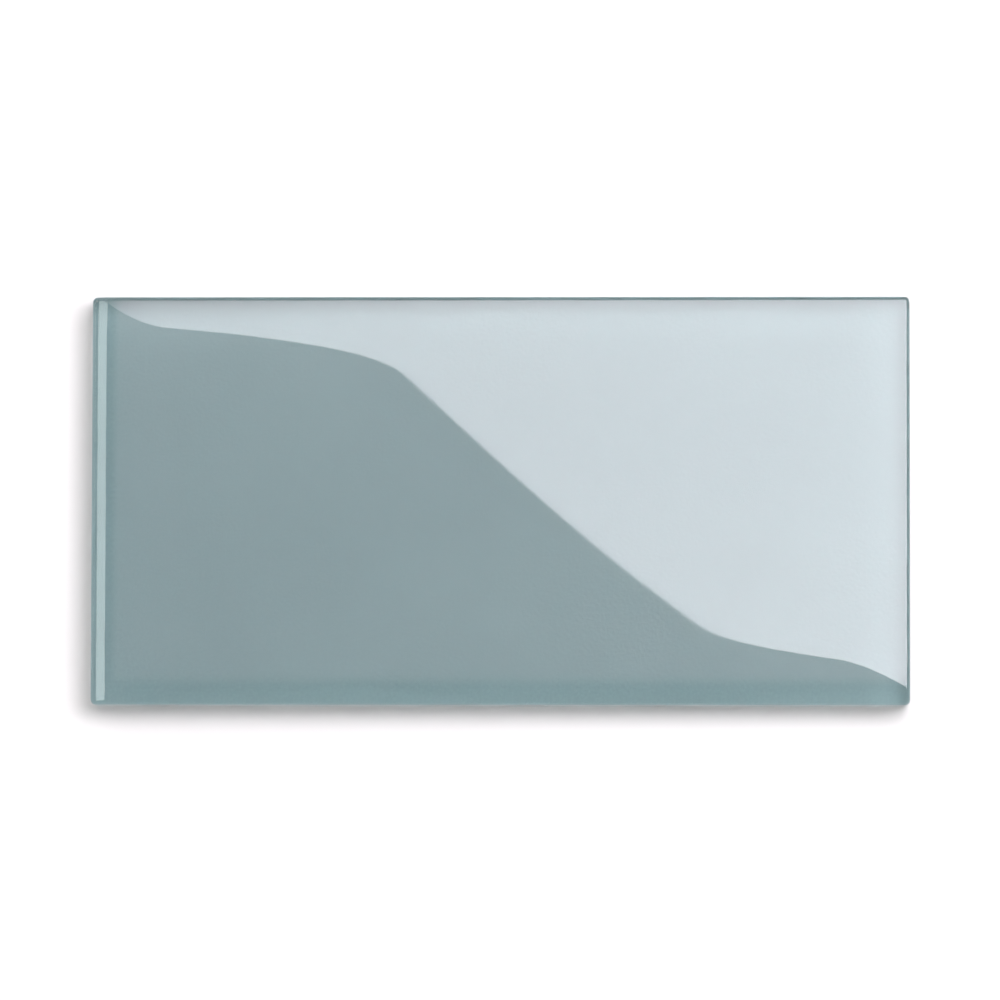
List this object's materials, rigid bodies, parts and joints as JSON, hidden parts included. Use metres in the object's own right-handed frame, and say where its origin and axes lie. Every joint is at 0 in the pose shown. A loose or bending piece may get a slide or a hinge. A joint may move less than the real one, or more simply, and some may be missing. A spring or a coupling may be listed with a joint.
{
  "type": "glass subway tile",
  "caption": "Flat rectangular wall tile of clear glass with a coloured back, softly pillowed front face and fire-polished edges.",
  "frame": {"origin": "middle of the flat back face, which is the face that is bonded to the wall and the face it rests on", "axes": "+X along the long side, +Y across the short side, +Z out of the glossy front face"},
  "size_m": [0.1524, 0.0762, 0.008],
  "materials": {
    "glass": "gloss",
    "back_enamel": "satin"
  },
  "bodies": {
    "root": {"glass_tile": "glass"}
  },
  "joints": []
}
